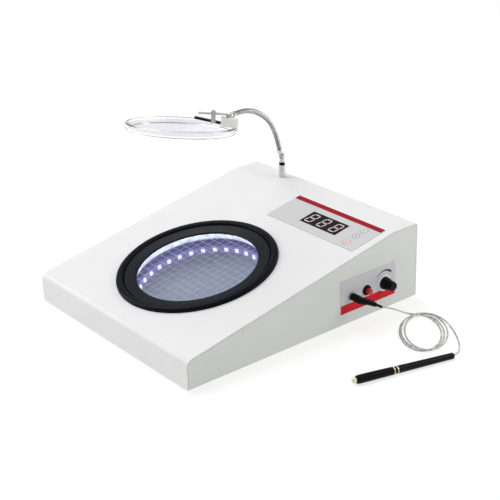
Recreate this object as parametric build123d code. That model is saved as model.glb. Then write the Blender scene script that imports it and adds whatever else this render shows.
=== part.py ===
from build123d import *
import os
from math import atan2, cos, degrees, hypot, pi, radians, sin, tan

# A bench-top digital colony counter: a sloping sheet-metal case with a lit stage for a culture dish,
# a magnifier on a gooseneck, and a touch pen that counts, on a thin lead. Millimetres, +Z up.
# X runs along the width, the low front edge is at Y = 0, and the bench is at Z = 0.

# ------------------------------------------------------------------ driving dimensions
WIDTH = 300.0
DEPTH = 350.0
FRONT_HEIGHT = 35.0
BACK_HEIGHT = 96.0
STRIP_DEPTH = 40.0
FOOT_HEIGHT = 3.0
SHEET = 1.5
FRONT_BEND = 11.0
LIP = 14.0
PANEL_GAP = 0.1
SEAM = 0.5
INSET = 1.7
SCREW_RADIUS = 1.5
SCREW_HOLE = 1.65
THREAD_GAP = 0.05

STAGE_X = 4.0
STAGE_UP = 128.4
RING_RADIUS = 99.0
SEAT_RADIUS = 89.3
APERTURE = 74.0
COVER_OPENING = 84.0
STUD_CIRCLE = 88.0
STUD_ANGLES = range(30, 390, 60)
GLASS_RADIUS = 80.4
GLASS_TOP = -1.8
GLASS_BASE = -4.8
WELL_RADIUS = 79.0
WELL_WALL = 1.4
WELL_DEPTH = 36.5
LED_COUNT = 32
LED_DEPTH = 27.0

OVERLAY = (-15.0, 140.0, 256.0, 312.0)
WINDOW = (32.0, 96.0, 269.0, 294.6)
KEY_X = 119.3
KEYS = {"reset_key": 266.5, "mode_key": 282.2, "sound_key": 296.0}
KEY_RADIUS = 5.2
BOARD = (24.0, 134.0, 258.0, 306.0)
BOARD_TOP = -6.7
BOARD_THICKNESS = 1.6

SIDE_LABEL = (223.5, 312.7, 14.0, 57.0)
CONTROL_HEIGHT = 34.0
JACK_Y = 240.8
BUTTON_Y = 265.0
KNOB_Y = 294.6

INLET_X = -85.0
INLET_HEIGHT = 48.0
SOCKET_OFFSET = -15.0
ROCKER_OFFSET = 9.5
FUSE_OFFSET = 23.5
ROCKER_TILT = 8.0

NECK_X = -81.0
NECK_Y = 333.0
NECK_PIVOT_HEIGHT = 126.0
NECK_YAW = -57.2
NECK_LAP = 1.6
NECK_TILT = 26.0
NECK_RADIUS = 3.2
FERRULE = 13.0
LINK_LENGTH = 26.1
LINK_BENDS = [10.9] * 3 + [4.6] * 5
LINK_GAP = 0.3
BEADS = 11
BEAD_SHARE = 0.84
BALL_REACH = 14.0
BALL_RADIUS = 4.5

LENS_YAW = 51.6
LENS_PITCH = 5.0
LENS_ROLL = -10.3
LENS_RADIUS = 64.0
RIM_HALF = 4.0
BALL_OUT = 56.0
BALL_UP = 16.0
CLIP_PIVOT = (37.0, 18.7)

PEN_TIP = (254.9, 142.6)
PEN_END = (287.2, 267.5)
PEN_FRONT_RADIUS = 5.0
PEN_REAR_RADIUS = 3.7
PEN_FRONT_REST = 20.0
PEN_REAR_REST = 8.0
PEN_CLEARANCE = 0.1

CORD_RADIUS = 1.0
COIL_CENTRE = (223.0, 286.0)
COIL_TURN = -43.5
COIL_HALF_LENGTH = 46.0
COIL_HALF_WIDTH = 26.0
COIL_BAND = 13.0
COIL_HEIGHT = 5.0
BOOT_SECTIONS = [
    ((168.0, 242.7, 36.0), 4.4),
    ((174.0, 244.2, 36.8), 3.8),
    ((180.0, 245.4, 36.8), 3.2),
    ((185.0, 246.4, 36.6), 2.7),
]
BOOT_END = (194.0, 248.0, 36.3)
LEAD_ROUTE = [
    BOOT_END,
    (198.5, 252.0, 35.8),
    (199.0, 262.0, 31.0),
    (194.5, 275.5, 22.5),
    (188.5, 290.0, 13.0),
    (184.5, 303.5, 5.0),
    (186.0, 313.0, 2.0),
]
TAIL_ROUTE = [
    (214.7, 326.4, 3.1),
    (225.8, 324.2, 2.4),
    (237.0, 319.2, 1.6),
    (249.5, 312.2, 1.1),
    (261.0, 304.1, 1.1),
    (271.5, 295.1, 1.4),
    (280.2, 285.4, 2.3),
    (285.4, 278.0, 3.1),
    (287.2, 272.3, 3.6),
    (287.2, 267.5, 3.7),
]

# ------------------------------------------------------------------ frames on the case
SLOPE_RUN = DEPTH - STRIP_DEPTH
SLOPE_ANGLE = atan2(BACK_HEIGHT - FRONT_HEIGHT, SLOPE_RUN)
slope = Plane(
    origin=(0, 0, FOOT_HEIGHT + FRONT_HEIGHT),
    x_dir=(1, 0, 0),
    z_dir=(0, -sin(SLOPE_ANGLE), cos(SLOPE_ANGLE)),
).location
stage = slope * Pos(STAGE_X, STAGE_UP, 0)
side = Plane(origin=(WIDTH / 2, 0, FOOT_HEIGHT), x_dir=(0, 1, 0), z_dir=(1, 0, 0)).location
rear = Plane(origin=(0, DEPTH, FOOT_HEIGHT), x_dir=(-1, 0, 0), z_dir=(0, 1, 0)).location
base = Pos(0, 0, FOOT_HEIGHT)
strip = Pos(NECK_X, NECK_Y, FOOT_HEIGHT + BACK_HEIGHT)

LOW = (Align.CENTER, Align.CENTER, Align.MIN)
nodes = {}


# ------------------------------------------------------------------ small shapes
def rod(radius, low, high):
    """A cylinder about Z between two heights."""
    return Pos(0, 0, low) * Cylinder(radius, high - low, align=LOW)


def tube(outer, inner, low, high):
    """A straight tube about Z."""
    return rod(outer, low, high) - rod(inner, low - 1, high + 1)


def block(x_low, x_high, y_low, y_high, z_low, z_high):
    """A box between its lowest and highest corners."""
    middle = Pos((x_low + x_high) / 2, (y_low + y_high) / 2, (z_low + z_high) / 2)
    return middle * Box(x_high - x_low, y_high - y_low, z_high - z_low)


def turned(points):
    """A solid of revolution about Z from its outline, as radius and height."""
    outline = make_face(Polyline(*points, close=True))
    return revolve(Plane.XZ * outline, Axis.Z)


def screw(length):
    """A pan-head machine screw: its head stands on Z = 0 and its shank points down."""
    head = fillet(rod(2.75, 0, 1.8).edges().group_by(Axis.Z)[-1], 0.8)
    cross = block(-1.6, 1.6, -0.3, 0.3, 0.8, 3) + block(-0.3, 0.3, -1.6, 1.6, 0.8, 3)
    return head - cross + rod(SCREW_RADIUS, -length, 0.0)


def rounded_edges(solid, axis, radius):
    """The solid with its edges that run along an axis rounded."""
    return fillet(solid.edges().filter_by(axis), radius)


# ------------------------------------------------------------------ the case
def case_outline():
    """The case's side outline, as Y and height above its base, with its three bends."""
    corners = [(0, 0), (0, FRONT_HEIGHT), (SLOPE_RUN, BACK_HEIGHT), (DEPTH, BACK_HEIGHT), (DEPTH, 0)]
    outline = make_face(Polyline(*corners, close=True))
    bends = [(corners[1], FRONT_BEND), (corners[2], 6.0), (corners[3], 4.0)]
    for corner, radius in bends:
        vertex = outline.vertices().sort_by_distance((*corner, 0))[0]
        outline = fillet(vertex, radius)
    return outline


def along_width(outline, x_low, x_high):
    """A side outline extruded between two places across the width."""
    face = Plane.YZ.offset(x_low) * outline
    return base * extrude(face, amount=x_high - x_low, dir=(1, 0, 0))


def screw_spots():
    """Where the case screws go, under the front, back and side flanges."""
    spots = [(x, y) for x in (-100, 0, 100) for y in (7.5, DEPTH - 7.5)]
    spots += [(x, y) for x in (-142, 142) for y in (60, DEPTH - 60)]
    return spots


def case_sheets():
    """The wrapped top cover, two side panels and the base plate."""
    outline = case_outline()
    inner = offset(outline, amount=-SHEET, kind=Kind.INTERSECTION)
    half = WIDTH / 2
    cover = along_width(outline, -half, half) - along_width(inner, -half - 1, half + 1)
    opening = base * block(-half - 1, half + 1, LIP, DEPTH - LIP, -1, SHEET + 1)
    cover -= opening
    for sign in (-1, 1):
        end = base * Pos(sign * (half - SHEET / 2), DEPTH / 2, SHEET / 2)
        cover -= end * Box(SHEET + 2 * PANEL_GAP, DEPTH - 2 * SHEET, SHEET + 1)

    panel_edge = SHEET + SEAM
    panel_outline = offset(outline, amount=-panel_edge, kind=Kind.INTERSECTION)
    flange = base * block(half - LIP, half - SHEET / 2, LIP + 2, DEPTH - LIP - 2, 0, SHEET)
    foot_of_panel = base * block(half - SHEET, half, panel_edge, DEPTH - panel_edge, 0, SHEET * 2)
    right_panel = along_width(panel_outline, half - SHEET, half) + flange + foot_of_panel
    left_panel = mirror(right_panel, Plane.YZ)
    plate_base = SHEET + PANEL_GAP
    plate = block(-half + INSET, half - INSET, INSET, DEPTH - INSET, plate_base, plate_base + SHEET)
    plate = base * plate

    for x, y in screw_spots():
        hole = base * Pos(x, y, 0) * rod(SCREW_HOLE, -1, 4)
        cover -= hole
        left_panel -= hole
        right_panel -= hole
        plate -= hole
    return cover, left_panel, right_panel, plate


def cut_cover(cover):
    """The cover with its openings and its welded studs."""
    cover -= stage * rod(COVER_OPENING, -8, 8)
    stud_bore = SCREW_RADIUS + THREAD_GAP
    for angle in STUD_ANGLES:
        stud = tube(3.2, stud_bore, -6.6, -SHEET + 0.2)
        cover += stage * Rot(0, 0, angle) * Pos(STUD_CIRCLE, 0, 0) * stud
    left, right, low, high = WINDOW
    cover -= slope * block(left - 0.3, right + 0.3, low - 0.3, high + 0.3, -4, 4)
    for up in KEYS.values():
        cover -= slope * Pos(KEY_X, up, 0) * rod(KEY_RADIUS + 0.4, -4, 4)
    for x, up in board_spots():
        cover += slope * Pos(x, up, 0) * tube(2.8, stud_bore, BOARD_TOP + THREAD_GAP, -SHEET + 0.2)
    cover -= strip * rod(3.7, -4, 4)
    cover -= rear * Pos(-INLET_X, INLET_HEIGHT, 0) * block(-28.6, 28.6, -13.6, 13.6, -4, 4)
    for offset_x in (-34, 34):
        cover -= rear * Pos(-INLET_X + offset_x, INLET_HEIGHT, 0) * rod(SCREW_HOLE, -4, 4)
    for index in range(8):
        slot = rear * Pos(35 + 8 * index, INLET_HEIGHT + 6, -2) * Rot(0, 0, 90)
        cover -= slot * extrude(SlotOverall(26, 3), 4)
    return cover


def board_spots():
    return [(30, 261.5), (128, 261.5), (30, 302.5), (128, 302.5)]


def supply_spots():
    return [(-124, 222), (-46, 222), (-124, 300), (-46, 300)]


def foot_spots():
    return [(x, y) for x in (-112, 112) for y in (36, DEPTH - 36)]


def build_case():
    cover, left_panel, right_panel, plate = case_sheets()
    cover = cut_cover(cover)
    for place, radius in ((JACK_Y, 4.2), (BUTTON_Y, 4.4), (KNOB_Y, 3.8)):
        right_panel -= side * Pos(place, CONTROL_HEIGHT, 0) * rod(radius, -3, 3)
    for x, y in foot_spots():
        plate -= base * Pos(x, y, 0) * rod(2.6, -1, 5)
    for x, y in supply_spots():
        plate -= base * Pos(x, y, 0) * rod(SCREW_HOLE, -1, 5)
    for index in range(7):
        vent = base * Pos(-100 + 12 * index, 180, 0)
        plate -= vent * extrude(SlotOverall(40, 4, rotation=90), 5)
    nodes["top_cover"] = cover
    nodes["left_side_panel"] = left_panel
    nodes["right_side_panel"] = right_panel
    nodes["base_plate"] = plate

    foot = turned([
        (0, -FOOT_HEIGHT), (9.5, -FOOT_HEIGHT), (11, -1.5), (10.5, 1.55), (2.5, 1.55),
        (2.5, 3.2), (3.4, 3.2), (2.2, 6.0), (0, 6.0),
    ])
    feet = [base * Pos(x, y, 0) * foot for x, y in foot_spots()]
    nodes["rubber_feet"] = Compound(feet)

    upwards = Rot(180, 0, 0)
    screws = [base * Pos(x, y, 0) * upwards * screw(4) for x, y in screw_spots()]
    screws += [base * Pos(x, y, SHEET) * upwards * screw(6) for x, y in supply_spots()]
    for x, up in board_spots():
        head_level = BOARD_TOP - BOARD_THICKNESS - PANEL_GAP
        screws.append(slope * Pos(x, up, head_level) * upwards * screw(5))
    for angle in STUD_ANGLES:
        screws.append(stage * Rot(0, 0, angle) * Pos(STUD_CIRCLE, 0, -8.25) * upwards * screw(5))
    for offset_x in (-34, 34):
        screws.append(rear * Pos(-INLET_X + offset_x, INLET_HEIGHT, 2.55) * screw(6))
    nodes["m3_screws"] = Compound(screws)


# ------------------------------------------------------------------ the lit stage
def build_stage():
    ring = turned([
        (COVER_OPENING - 0.4, 0.05), (RING_RADIUS, 0.05), (RING_RADIUS, 1.6),
        (98.2, 3.4), (96.6, 4.6), (94.6, 5.1),
        (92.6, 4.9), (91.0, 4.1), (90.0, 2.9), (SEAT_RADIUS, 1.2), (SEAT_RADIUS, 0.25),
        (GLASS_RADIUS + 0.5, 0.25), (GLASS_RADIUS + 0.5, -6.4), (COVER_OPENING - 0.4, -6.4),
    ])
    notch = stage * Rot(0, 0, 193) * Pos(RING_RADIUS - 2, 0, 5.2) * Box(9, 4, 2.4)
    nodes["stage_ring"] = stage * ring - notch
    dish_ring = turned([
        (APERTURE, -1.6), (APERTURE, -0.5), (75.0, 0.3), (78.0, 1.0), (86.5, 2.3), (88.2, 2.3),
        (88.8, 1.7), (88.8, 0.3), (80.6, 0.3), (79.9, -0.4), (79.9, -1.6),
    ])
    nodes["dish_ring"] = stage * dish_ring
    nodes["stage_glass"] = stage * chamfer(rod(GLASS_RADIUS, GLASS_BASE, GLASS_TOP).edges(), 0.4)

    wall = WELL_RADIUS + WELL_WALL
    floor = -WELL_DEPTH - WELL_WALL
    well = stage * turned([
        (0, floor), (wall - 2, floor), (wall, floor + 2), (wall, -8.2), (92.0, -8.2), (92.0, -6.7),
        (wall, -6.7), (wall, GLASS_BASE - 0.1), (WELL_RADIUS, GLASS_BASE - 0.1),
        (WELL_RADIUS, -WELL_DEPTH + 1.5), (WELL_RADIUS - 1.5, -WELL_DEPTH), (0, -WELL_DEPTH),
    ])
    for angle in STUD_ANGLES:
        well -= stage * Rot(0, 0, angle) * Pos(STUD_CIRCLE, 0, 0) * rod(SCREW_HOLE, -9, -6)
    nodes["reflector_well"] = well

    strip_outer = WELL_RADIUS - 0.1
    lights = [stage * tube(strip_outer, strip_outer - 0.5, -LED_DEPTH - 5, -LED_DEPTH + 5)]
    led = block(-1.5, -0.02, -2.3, 2.3, -2.3, 2.3) + Pos(-1.5, 0, 0) * Rot(0, -90, 0) * rod(1.9, 0, 0.5)
    for index in range(LED_COUNT):
        turn = Rot(0, 0, (index + 0.5) * 360 / LED_COUNT)
        lights.append(stage * turn * Pos(strip_outer - 0.53, 0, -LED_DEPTH) * led)
    nodes["led_ring"] = Compound(lights)


# ------------------------------------------------------------------ display, keys and their board
def build_display():
    overlay = slope * block(*OVERLAY, 0.02, 0.52)
    overlay -= slope * block(WINDOW[0], WINDOW[1], WINDOW[2], WINDOW[3], -1, 2)
    for up in KEYS.values():
        overlay -= slope * Pos(KEY_X, up, 0) * rod(KEY_RADIUS + 0.25, -1, 2)
    nodes["panel_overlay"] = overlay

    pitch = (WINDOW[1] - WINDOW[0]) / 3
    modules = []
    for index in range(3):
        left = WINDOW[0] + index * pitch + 0.1
        right = left + pitch - 0.2
        body = block(left, right, WINDOW[2] + 0.1, WINDOW[3] - 0.1, BOARD_TOP + 0.05, 0.5)
        modules.append(slope * body)
    nodes["display_modules"] = Compound(modules)

    board = slope * block(*BOARD, BOARD_TOP - BOARD_THICKNESS, BOARD_TOP)
    for x, up in board_spots():
        board -= slope * Pos(x, up, 0) * rod(SCREW_HOLE, -12, 0)
    nodes["main_board"] = board

    switches = []
    for name, up in KEYS.items():
        cap = fillet(rod(KEY_RADIUS, -2.0, 0.75).edges().group_by(Axis.Z)[-1], 0.3)
        nodes[name] = slope * Pos(KEY_X, up, 0) * (cap + rod(6.6, -2.5, -1.9))
        tact = block(-3, 3, -3, 3, BOARD_TOP + 0.05, -3.6) + rod(1.7, -3.6, -3.0)
        switches.append(slope * Pos(KEY_X, up, 0) * tact)
    nodes["tact_switches"] = Compound(switches)

    beeper = rod(6, -8.2, 0) - rod(1, -2, 1)
    nodes["beeper"] = slope * Pos(105, 300, BOARD_TOP - BOARD_THICKNESS - 0.05) * beeper
    supply = base * rounded_edges(block(-130, -40, 216, 306, 3.2, 36), Axis.Z, 2.0)
    for x, y in supply_spots():
        supply -= base * Pos(x, y, 0) * rod(SCREW_HOLE, 0, 8)
    for index in range(7):
        supply -= base * Pos(-115 + 10 * index, 261, 35) * extrude(SlotOverall(60, 3, rotation=90), 5)
    nodes["power_supply"] = supply


# ------------------------------------------------------------------ side controls
def build_side_controls():
    jack = side * Pos(JACK_Y, CONTROL_HEIGHT, 0)
    button = side * Pos(BUTTON_Y, CONTROL_HEIGHT, 0)
    knob = side * Pos(KNOB_Y, CONTROL_HEIGHT, 0)
    low_y, high_y, low_z, high_z = SIDE_LABEL
    label = side * block(low_y, high_y, low_z, high_z, 0.02, 0.42)
    label -= jack * rod(4.3, -1, 1)
    label -= button * rod(4.5, -1, 1)
    label -= knob * rod(3.9, -1, 1)
    nodes["side_label"] = label

    jack_body = rod(4.0, -3, 2.9) + block(-6, 6, -6, 6, -17, -1.7)
    nodes["probe_jack"] = jack * (jack_body - rod(1.8, -14.5, 4))
    hexagon = extrude(RegularPolygon(5.8, 6), 2.0)
    jack_nut = Pos(0, 0, 0.45) * hexagon - rod(4.05, 0, 3)
    knob_nut = Pos(0, 0, 0.45) * extrude(RegularPolygon(5.0, 6), 2.0) - rod(3.65, 0, 3)
    neck_nut = Pos(0, 0, -4.6) * extrude(RegularPolygon(6.5, 6), 3.0) - rod(3.45, -6, 0)
    nodes["panel_nuts"] = Compound([jack * jack_nut, knob * knob_nut, strip * neck_nut])

    bezel = turned([
        (3.65, -13), (5.2, -13), (5.2, -1.7), (4.2, -1.7), (4.2, 0.45), (6.6, 0.45), (6.6, 1.6),
        (5.9, 2.6), (4.4, 3.0), (3.65, 2.6),
    ])
    nodes["push_button_body"] = button * (bezel + rod(5.2, -14.5, -12.9))
    cap = fillet(rod(3.5, -7.0, 8.6).edges().group_by(Axis.Z)[-1], 1.0)
    nodes["button_cap"] = button * cap

    pot = rod(8.5, -14, -1.7) + rod(3.6, -3, 5.5) + block(-4, 4, 6, 13, -13, -9)
    nodes["potentiometer"] = knob * (pot - rod(3.05, -9.5, 6))
    nodes["knob_shaft"] = knob * rod(3.0, -9.0, 14.5)
    grip = turned([
        (3.0, 6.5), (5.8, 6.5), (5.8, 0.9), (7.7, 0.9), (7.8, 2.2), (7.4, 5.6), (6.6, 6.4),
        (5.7, 15.7), (5.0, 16.5), (0, 16.5), (0, 14.5), (3.0, 14.5),
    ])
    for index in range(18):
        flute = Rot(0, 0, index * 20) * Pos(6.95, 0, 7.6) * Rot(0, -4.7, 0) * rod(0.45, 0, 12)
        grip -= flute
    pointer = Rot(0, 0, 120) * block(1.5, 8, -0.4, 0.4, 16.1, 17.5)
    nodes["control_knob"] = knob * (grip - pointer)


# ------------------------------------------------------------------ mains inlet at the back
def build_inlet():
    inlet = rear * Pos(-INLET_X, INLET_HEIGHT, 0)
    flange = rounded_edges(block(-39, 39, -15, 15, 0.05, 2.5), Axis.Z, 3.0)
    body = flange + block(-28.3, 28.3, -13.3, 13.3, -28, 0.1)
    recess = block(-13, 13, -9.5, 9.5, -16, 4)
    body -= Pos(SOCKET_OFFSET, 0, 0) * rounded_edges(recess, Axis.Z, 2.0)
    body -= Pos(ROCKER_OFFSET, 0, 0) * block(-6.5, 6.5, -10.6, 10.6, -20, 4)
    body -= Pos(FUSE_OFFSET, 0, 0) * block(-4.3, 4.3, -8.8, 8.8, -20, 4)
    for offset_x in (-34, 34):
        body -= Pos(offset_x, 0, 0) * rod(SCREW_HOLE, -1, 4)
    for pin_x, pin_y in ((-7, -2.5), (7, -2.5), (0, 0.5)):
        body += Pos(SOCKET_OFFSET + pin_x, pin_y, 0) * block(-1, 1, -2, 2, -17, -3)
    nodes["power_inlet"] = inlet * body

    rocker_outline = make_face(Polyline(
        (-9.4, 3.4), (0, 1.6), (9.4, 3.4), (8.6, -3.5), (3, -8), (-3, -8), (-8.6, -3.5), close=True
    ))
    rocker = extrude(Plane.YZ.offset(-6.1) * rocker_outline, amount=12.2, dir=(1, 0, 0))
    neutral = Pos(ROCKER_OFFSET, 0, -1.5) * Rot(ROCKER_TILT, 0, 0) * Pos(0, 0, 1.5)
    nodes["power_rocker"] = inlet * neutral * rocker
    drawer = block(-4.1, 4.1, -8.6, 8.6, -15, 2.2) + block(-4.1, 4.1, -10.0, 10.0, 2.6, 4.0)
    drawer += block(-4.1, 4.1, -8.6, 8.6, 2.0, 3.0)
    drawer -= Pos(0, 0, -6) * Rot(90, 0, 0) * Cylinder(2.6, 14) + block(-5, 5, -7, 7, -16, -8)
    nodes["fuse_drawer"] = inlet * Pos(FUSE_OFFSET, 0, 0) * drawer


# ------------------------------------------------------------------ gooseneck
def arc_place(length, bend, fraction):
    """The frame at a fraction of an arc that starts at the origin along +Z and bends towards +X."""
    radius = length / radians(bend)
    return Pos(radius, 0, 0) * Rot(0, bend * fraction, 0) * Pos(-radius, 0, 0)


def neck_link(length, bend):
    """One stretch of the wound steel hose: a core with a row of rounded turns."""
    radius = length / radians(bend)
    trim = LINK_GAP / length
    sweep_arc = bend * (1 - 2 * trim)
    core = revolve(Circle(NECK_RADIUS - 0.75), Axis((radius, 0, 0), (0, 1, 0)), revolution_arc=sweep_arc)
    link = arc_place(length, bend, trim) * core
    pitch = length * (1 - 2 * trim) / BEADS
    turn = chamfer(Cylinder(NECK_RADIUS, pitch * BEAD_SHARE).edges().filter_by(GeomType.CIRCLE), 0.5)
    for index in range(BEADS):
        fraction = trim + (1 - 2 * trim) * (index + 0.5) / BEADS
        link += arc_place(length, bend, fraction) * turn
    return link


def neck_frames():
    """The frames of the neck's tilt pivot, of each link's start, and of the ball's centre."""
    pivot = Pos(NECK_X, NECK_Y, FOOT_HEIGHT + NECK_PIVOT_HEIGHT) * Rot(0, 0, NECK_YAW)
    here = pivot * Pos(0, -NECK_LAP, 0) * Rot(0, NECK_TILT, 0) * Pos(0, 0, FERRULE)
    starts = []
    for bend in LINK_BENDS:
        starts.append(here)
        here = here * arc_place(LINK_LENGTH, bend, 1)
    return pivot, starts, here


def build_neck():
    pivot, starts, end = neck_frames()
    socket = chamfer(rod(4.5, 0.05, 17.0).edges().group_by(Axis.Z)[-1], 0.5)
    socket = socket + rod(3.4, -11, 0.1) - rod(2.05, 4.5, 20)
    nodes["neck_socket"] = strip * socket
    band = fillet(rod(3.8, 17.05, 20.4).edges(), 0.5) - rod(2.1, 16, 22)
    nodes["neck_band"] = strip * band

    rise = NECK_PIVOT_HEIGHT - BACK_HEIGHT
    collar = chamfer(rod(3.3, 20.6, 26.6).edges().group_by(Axis.Z)[0], 0.4) + rod(2.0, 4.7, 21)
    post = strip * collar
    ear = Rot(90, 0, 0) * rod(3.6, -3.1, -0.15) + block(-3.3, 3.3, 0.15, 3.1, -5, 0)
    post += strip * Pos(0, 0, rise) * Rot(0, 0, NECK_YAW) * ear
    post -= pivot * block(-5, 5, -5, 0.15, -3.6, 5)
    post += pivot * Rot(90, 0, 0) * rod(1.2, -0.3, 4.2)
    nodes["neck_post"] = post

    lap = Rot(90, 0, 0) * rod(3.4, 0.15, 3.2)
    sleeve = Pos(0, -NECK_LAP, 0) * chamfer(rod(3.6, 5.2, FERRULE - LINK_GAP).edges(), 0.4)
    bridge = block(-2.9, 2.9, -3.2, -0.15, 0, 5.6)
    ferrule = lap + bridge + sleeve
    ferrule -= Rot(90, 0, 0) * rod(1.25, -5, 5)
    nodes["neck_ferrule"] = pivot * Rot(0, NECK_TILT, 0) * ferrule

    for index, (start, bend) in enumerate(zip(starts, LINK_BENDS), 1):
        nodes[f"neck_link_{index}"] = start * neck_link(LINK_LENGTH, bend)
    tip = chamfer(rod(3.6, 0.05, 6.5).edges(), 0.4) + rod(1.8, 6, BALL_REACH)
    tip += Pos(0, 0, BALL_REACH) * Sphere(BALL_RADIUS)
    nodes["neck_ball_end"] = end * tip
    return end * Pos(0, 0, BALL_REACH)


# ------------------------------------------------------------------ magnifier and its spring clip
def lens_frame(ball):
    """The frame at the lens's centre: X towards the clip, Z out of the lens's top."""
    tilted = Pos(*ball.position) * Rot(0, 0, LENS_YAW) * Rot(0, LENS_PITCH, 0) * Rot(LENS_ROLL, 0, 0)
    return tilted * Pos(-BALL_OUT, 0, -BALL_UP)


def build_lens(lens):
    glass_radius = LENS_RADIUS - 3.7
    edge = 1.5
    crown = 4.6
    outline = make_face([
        Line((0, -crown), (0, crown)),
        RadiusArc((0, crown), (glass_radius, edge), (glass_radius ** 2 + 3.1 ** 2) / 6.2),
        Line((glass_radius, edge), (glass_radius, -edge)),
        RadiusArc((glass_radius, -edge), (0, -crown), (glass_radius ** 2 + 3.1 ** 2) / 6.2),
    ])
    nodes["magnifier_lens"] = lens * revolve(Plane.XZ * outline, Axis.Z)
    rim = turned([
        (LENS_RADIUS - 3.5, -RIM_HALF), (LENS_RADIUS - 1.0, -RIM_HALF), (LENS_RADIUS, -RIM_HALF + 1.0),
        (LENS_RADIUS, RIM_HALF - 1.0), (LENS_RADIUS - 1.0, RIM_HALF), (LENS_RADIUS - 3.5, RIM_HALF),
    ])
    nodes["lens_rim"] = lens * rim

    ball = Pos(BALL_OUT, 0, BALL_UP)
    holder = rounded_edges(block(46, 66, -8, 8, 4.05, 14.4), Axis.Z, 1.2)
    holder += rounded_edges(block(60, 66, -8, 8, -0.5, 5), Axis.Z, 1.2)
    holder -= rod(LENS_RADIUS + 0.1, -4, 4.05)
    holder -= ball * Sphere(BALL_RADIUS + 0.3)
    holder -= block(53.0, 67.0, 3.0, 9.0, 9.4, 16.0)
    nodes["clip_holder"] = lens * holder

    pivot_x, pivot_z = CLIP_PIVOT
    pivot = Pos(pivot_x, 0, pivot_z) * Rot(-90, 0, 0)
    lower = Pos(45.95, 0, 7.6) * Rot(0, 9.2, 0) * block(-31.0, -0.2, -5.2, 5.2, -1.1, 1.1)
    lower -= block(45.95, 50, -9, 9, 0, 20)
    for sign in (-1, 1):
        low, high = sorted((sign * 5.2, sign * 6.6))
        ear = block(34.4, 39.6, low, high, 7.6, pivot_z) + pivot * rod(2.6, low, high)
        foot = Pos(pivot_x, sign * 5.2, 8.4) * Box(5.2, 2.8, 1.6)
        lower += ear + foot
    lower -= pivot * rod(1.2, -9, 9)
    nodes["clip_lower_lever"] = lens * lower
    nodes["clip_pin"] = lens * pivot * rod(1.2, -7.2, 7.2)

    upper = block(19.0, 55.0, -4.9, 4.9, 17.2, 18.8)
    upper = fillet(upper.edges().filter_by(Axis.Z).group_by(Axis.X)[0], 3.0)
    upper += pivot * rod(2.9, -4.9, 4.9)
    upper -= block(33.6, 40.4, -2.4, 2.4, 10, 25)
    upper -= pivot * rod(1.25, -9, 9)
    upper -= ball * Sphere(BALL_RADIUS + 0.25)
    upper -= block(50.0, 60.0, 2.4, 9.0, 10, 25)
    nodes["clip_upper_lever"] = lens * upper
    spring_path = Helix(pitch=0.95, height=3.8, radius=1.95)
    wire = Plane(spring_path @ 0, z_dir=spring_path % 0) * Circle(0.35)
    spring = sweep(wire, path=spring_path, is_frenet=True)
    nodes["clip_spring"] = lens * pivot * Pos(0, 0, -1.9) * spring


# ------------------------------------------------------------------ touch pen
def pen_frame():
    """The frame at the pen's tip end: Z runs back along the pen, which lies on the bench."""
    run_x = PEN_END[0] - PEN_TIP[0]
    run_y = PEN_END[1] - PEN_TIP[1]
    length = hypot(run_x, run_y)
    rise = (PEN_FRONT_RADIUS - PEN_REAR_RADIUS) / (length - PEN_REAR_REST - PEN_FRONT_REST)
    dip = degrees(atan2(rise, 1))
    heading = degrees(atan2(run_y, run_x))
    start = Pos(*PEN_TIP, PEN_FRONT_RADIUS + rise * PEN_FRONT_REST + PEN_CLEARANCE)
    return start * Rot(0, 0, heading) * Rot(0, dip, 0) * Rot(0, 90, 0), length


def build_pen():
    pen, length = pen_frame()
    front_end = 51.0
    rear_start = 57.0
    front = turned([
        (2.2, 5.4), (3.9, 5.4), (4.6, 6.2), (PEN_FRONT_RADIUS, 9.0), (PEN_FRONT_RADIUS, PEN_FRONT_REST),
        (4.55, front_end), (2.9, front_end), (2.9, 20.0), (2.2, 20.0),
    ])
    nodes["pen_front_barrel"] = pen * front
    tip = turned([
        (0, 0), (1.4, 0.15), (2.6, 0.8), (3.4, 2.0), (3.6, 3.4), (3.4, 4.4), (2.1, 4.4), (2.1, 17), (0, 17),
    ])
    nodes["pen_tip"] = pen * tip
    rings = turned([
        (0, 46.0), (2.8, 46.0), (2.8, front_end + 0.05), (4.4, front_end + 0.05), (4.58, 51.6),
        (4.4, 52.4), (4.0, 52.6), (4.0, 55.2), (4.35, 55.4), (4.5, 56.0), (4.35, rear_start - 0.05),
        (2.8, rear_start - 0.05), (2.8, 62.0), (0, 62.0),
    ])
    nodes["pen_rings"] = pen * rings
    rear_barrel = turned([
        (2.9, rear_start), (4.4, rear_start), (4.2, 75.0), (4.0, 92.0),
        (PEN_REAR_RADIUS, length - PEN_REAR_REST),
        (PEN_REAR_RADIUS, length - 1.0), (3.0, length), (0, length), (0, 64.0), (2.9, 64.0),
    ])
    nodes["pen_rear_barrel"] = pen * rear_barrel
    return pen * Pos(0, 0, length)


# ------------------------------------------------------------------ plug and lead
def build_plug():
    jack = side * Pos(JACK_Y, CONTROL_HEIGHT, 0)
    plug = fillet(rod(4.7, 3.1, 12.0).edges().group_by(Axis.Z)[0], 0.8)
    point = Pos(0, 0, -13.4) * Cone(0.5, 1.72, 1.4, align=LOW)
    nodes["plug_pin"] = jack * (rod(1.72, -12.0, 3.1) + point)
    sections = [jack * Pos(0, 0, 12.0) * Circle(4.7)]
    for place, radius in BOOT_SECTIONS:
        sections.append(Plane(origin=place, z_dir=(0.96, 0.22, 0.08)) * Circle(radius))
    boot = loft(sections)
    neck_start = Plane(origin=(184.5, 246.3, 36.6), z_dir=(0.96, 0.22, 0.0)) * Circle(1.7)
    neck_end = Plane(origin=BOOT_END, z_dir=(0.86, 0.50, -0.05)) * Circle(1.5)
    nodes["plug_body"] = jack * plug + boot + loft([neck_start, neck_end])


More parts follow.
